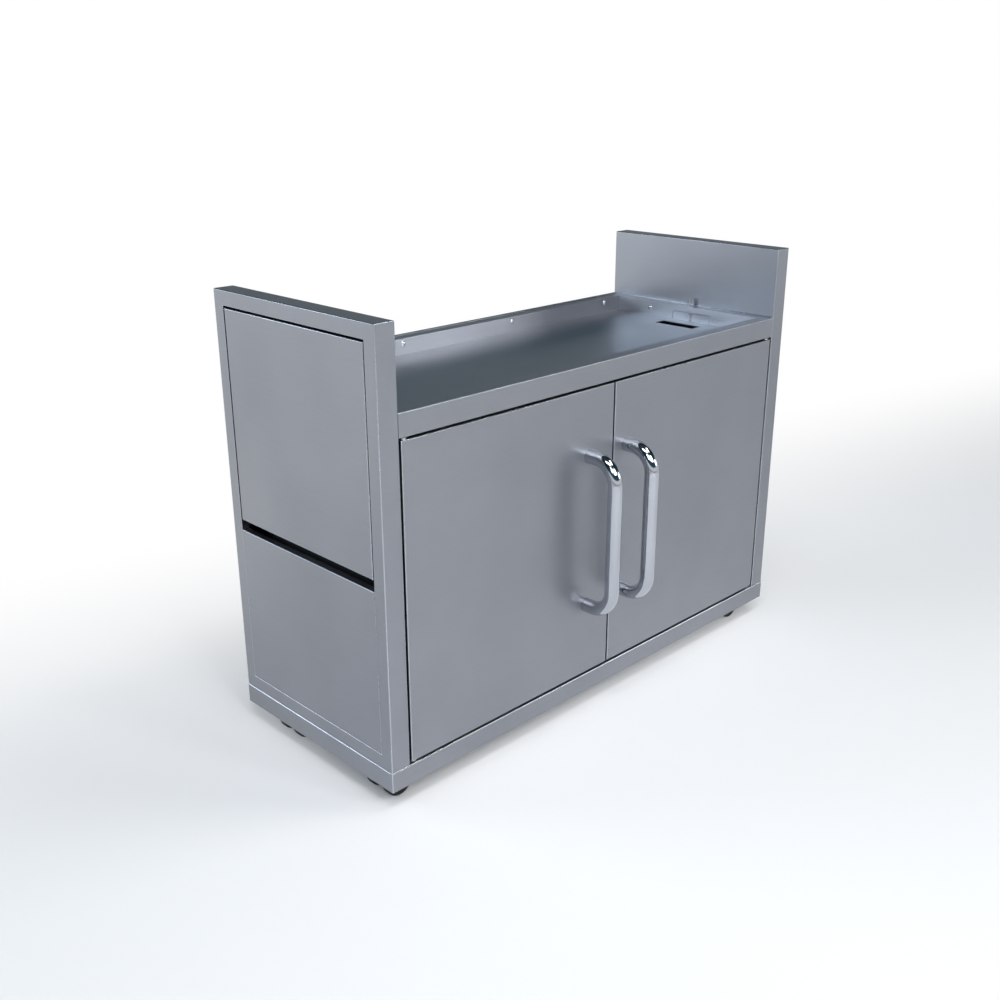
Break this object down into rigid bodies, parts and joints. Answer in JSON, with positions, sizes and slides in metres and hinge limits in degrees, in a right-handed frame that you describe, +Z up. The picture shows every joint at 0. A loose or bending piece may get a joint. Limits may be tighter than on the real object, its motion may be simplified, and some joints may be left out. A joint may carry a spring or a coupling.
{
  "type": "grill cart with storage",
  "caption": "Stainless steel cart on casters: cabinet with two pivoting doors, raised side panels with flip-up shelves and a sunk deck that takes a built-in grill head.",
  "frame": {"origin": "on the ground, in the middle of the cart with its handles included", "axes": "+X along the width, seen from the front to the right; +Y from the doors to the back; +Z up"},
  "size_m": [1.21, 0.5612, 0.914],
  "materials": {
    "brushed_stainless": "fine satin brushed stainless steel",
    "polished_steel": "polished stainless steel",
    "plated_steel": "zinc plated",
    "bush_bronze": "sintered bronze",
    "black_plastic": "moulded black nylon",
    "caster_rubber": "black tread"
  },
  "bodies": {
    "cabinet": {"base_tray": "brushed_stainless", "floor_stiffener": "plated_steel", "back_panel": "brushed_stainless", "grill_deck": "brushed_stainless", "front_rail": "plated_steel", "deck_angles": "plated_steel", "locating_pins": "polished_steel", "deck_screws": "polished_steel", "pivot_bushes": "bush_bronze", "catch_magnets": "black_plastic", "panel_screws": "plated_steel", "caster_plates": "plated_steel", "caster_bolts": "plated_steel", "side_frame_left": "brushed_stainless", "side_liner_left": "brushed_stainless", "lower_side_panel_left": "brushed_stainless", "shelf_hinge_pins_left": "polished_steel", "prop_brackets_left": "plated_steel", "side_frame_right": "brushed_stainless", "side_liner_right": "brushed_stainless", "lower_side_panel_right": "brushed_stainless", "shelf_hinge_pins_right": "polished_steel", "prop_brackets_right": "plated_steel"},
    "door_left": {"door_shell_left": "brushed_stainless", "door_liner_left": "brushed_stainless", "door_handle_left": "polished_steel", "handle_bolts_left": "plated_steel", "door_pivots_left": "polished_steel", "strike_plate_left": "plated_steel"},
    "door_right": {"door_shell_right": "brushed_stainless", "door_liner_right": "brushed_stainless", "door_handle_right": "polished_steel", "handle_bolts_right": "plated_steel", "door_pivots_right": "polished_steel", "strike_plate_right": "plated_steel"},
    "shelf_left": {"side_shelf_left": "brushed_stainless", "shelf_channel_left": "plated_steel"},
    "prop_left": {"shelf_prop_left": "polished_steel"},
    "shelf_right": {"side_shelf_right": "brushed_stainless", "shelf_channel_right": "plated_steel"},
    "prop_right": {"shelf_prop_right": "polished_steel"},
    "caster_fl": {"caster_housing_fl": "black_plastic", "caster_axle_fl": "plated_steel"},
    "wheel_fl_a": {"caster_wheel_fl_a": "caster_rubber"},
    "wheel_fl_b": {"caster_wheel_fl_b": "caster_rubber"},
    "caster_fr": {"caster_housing_fr": "black_plastic", "caster_axle_fr": "plated_steel"},
    "wheel_fr_a": {"caster_wheel_fr_a": "caster_rubber"},
    "wheel_fr_b": {"caster_wheel_fr_b": "caster_rubber"},
    "caster_rl": {"caster_housing_rl": "black_plastic", "caster_axle_rl": "plated_steel"},
    "wheel_rl_a": {"caster_wheel_rl_a": "caster_rubber"},
    "wheel_rl_b": {"caster_wheel_rl_b": "caster_rubber"},
    "caster_rr": {"caster_housing_rr": "black_plastic", "caster_axle_rr": "plated_steel"},
    "wheel_rr_a": {"caster_wheel_rr_a": "caster_rubber"},
    "wheel_rr_b": {"caster_wheel_rr_b": "caster_rubber"}
  },
  "joints": [
    {"name": "door_left_pivot", "type": "hinge", "parent": "cabinet", "child": "door_left", "pos_m": [-0.5462, -0.1876, 0.39725], "axis": [0, 0, -1], "range_deg": [0, 110]},
    {"name": "door_right_pivot", "type": "hinge", "parent": "cabinet", "child": "door_right", "pos_m": [0.5462, -0.1876, 0.39725], "axis": [0, 0, 1], "range_deg": [0, 110]},
    {"name": "shelf_left_hinge", "type": "hinge", "parent": "cabinet", "child": "shelf_left", "pos_m": [-0.5962, 0.0421, 0.8725], "axis": [0, 1, 0], "range_deg": [0, 90]},
    {"name": "prop_left_pivot", "type": "hinge", "parent": "cabinet", "child": "prop_left", "pos_m": [-0.5742, 0.0421, 0.7075], "axis": [0, 1, 0], "range_deg": [0, 135]},
    {"name": "shelf_right_hinge", "type": "hinge", "parent": "cabinet", "child": "shelf_right", "pos_m": [0.5962, 0.0421, 0.8725], "axis": [0, -1, 0], "range_deg": [0, 90]},
    {"name": "prop_right_pivot", "type": "hinge", "parent": "cabinet", "child": "prop_right", "pos_m": [0.5742, 0.0421, 0.7075], "axis": [0, -1, 0], "range_deg": [0, 135]},
    {"name": "swivel_fl", "type": "hinge", "parent": "cabinet", "child": "caster_fl", "pos_m": [-0.54, -0.1314, 0.06], "axis": [0, 0, 1], "continuous": true},
    {"name": "wheel_fl_a_axle", "type": "hinge", "parent": "caster_fl", "child": "wheel_fl_a", "pos_m": [-0.562, -0.1314, 0.03], "axis": [0, 1, 0], "continuous": true},
    {"name": "wheel_fl_b_axle", "type": "hinge", "parent": "caster_fl", "child": "wheel_fl_b", "pos_m": [-0.562, -0.1314, 0.03], "axis": [0, 1, 0], "continuous": true},
    {"name": "swivel_fr", "type": "hinge", "parent": "cabinet", "child": "caster_fr", "pos_m": [0.54, -0.1314, 0.06], "axis": [0, 0, 1], "continuous": true},
    {"name": "wheel_fr_a_axle", "type": "hinge", "parent": "caster_fr", "child": "wheel_fr_a", "pos_m": [0.518, -0.1314, 0.03], "axis": [0, 1, 0], "continuous": true},
    {"name": "wheel_fr_b_axle", "type": "hinge", "parent": "caster_fr", "child": "wheel_fr_b", "pos_m": [0.518, -0.1314, 0.03], "axis": [0, 1, 0], "continuous": true},
    {"name": "swivel_rl", "type": "hinge", "parent": "cabinet", "child": "caster_rl", "pos_m": [-0.54, 0.1581, 0.06], "axis": [0, 0, 1], "continuous": true},
    {"name": "wheel_rl_a_axle", "type": "hinge", "parent": "caster_rl", "child": "wheel_rl_a", "pos_m": [-0.562, 0.1581, 0.03], "axis": [0, 1, 0], "continuous": true},
    {"name": "wheel_rl_b_axle", "type": "hinge", "parent": "caster_rl", "child": "wheel_rl_b", "pos_m": [-0.562, 0.1581, 0.03], "axis": [0, 1, 0], "continuous": true},
    {"name": "swivel_rr", "type": "hinge", "parent": "cabinet", "child": "caster_rr", "pos_m": [0.54, 0.1581, 0.06], "axis": [0, 0, 1], "continuous": true},
    {"name": "wheel_rr_a_axle", "type": "hinge", "parent": "caster_rr", "child": "wheel_rr_a", "pos_m": [0.518, 0.1581, 0.03], "axis": [0, 1, 0], "continuous": true},
    {"name": "wheel_rr_b_axle", "type": "hinge", "parent": "caster_rr", "child": "wheel_rr_b", "pos_m": [0.518, 0.1581, 0.03], "axis": [0, 1, 0], "continuous": true}
  ],
  "couplings": [
    {"joint": "prop_left_pivot", "follows": "shelf_left_hinge", "ratio": 1.5},
    {"joint": "prop_right_pivot", "follows": "shelf_right_hinge", "ratio": 1.5}
  ]
}
